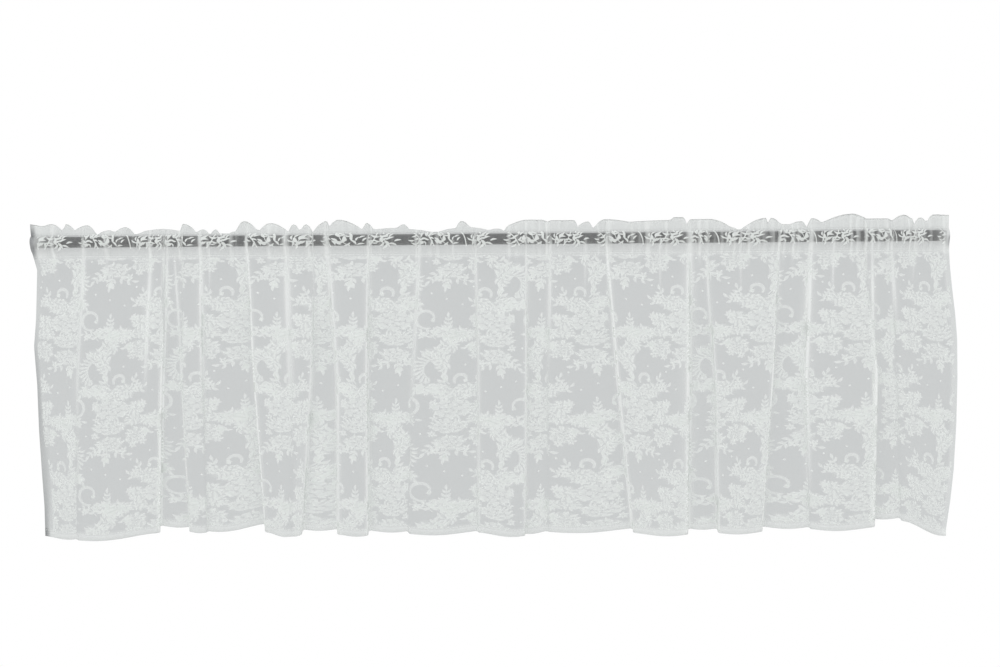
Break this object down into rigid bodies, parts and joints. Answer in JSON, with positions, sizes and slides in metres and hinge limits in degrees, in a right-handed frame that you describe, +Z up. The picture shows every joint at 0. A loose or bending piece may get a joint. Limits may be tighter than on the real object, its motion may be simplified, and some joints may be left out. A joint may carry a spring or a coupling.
{
  "type": "curtain panel on rod",
  "caption": "Short white lace curtain panel with a ruffled rod pocket and a hem, gathered in uneven folds on a plain dark round rod.",
  "frame": {"origin": "centre of the rod's left end face", "axes": "+X along the rod to its right end, -Y towards the room, +Z up"},
  "size_m": [1.3284, 0.0255, 0.4636],
  "materials": {
    "white_lace": "sheer net with denser woven flowers",
    "dark_metal": "satin dark grey"
  },
  "bodies": {
    "root": {"curtain_panel": "white_lace", "rod": "dark_metal"}
  },
  "joints": []
}
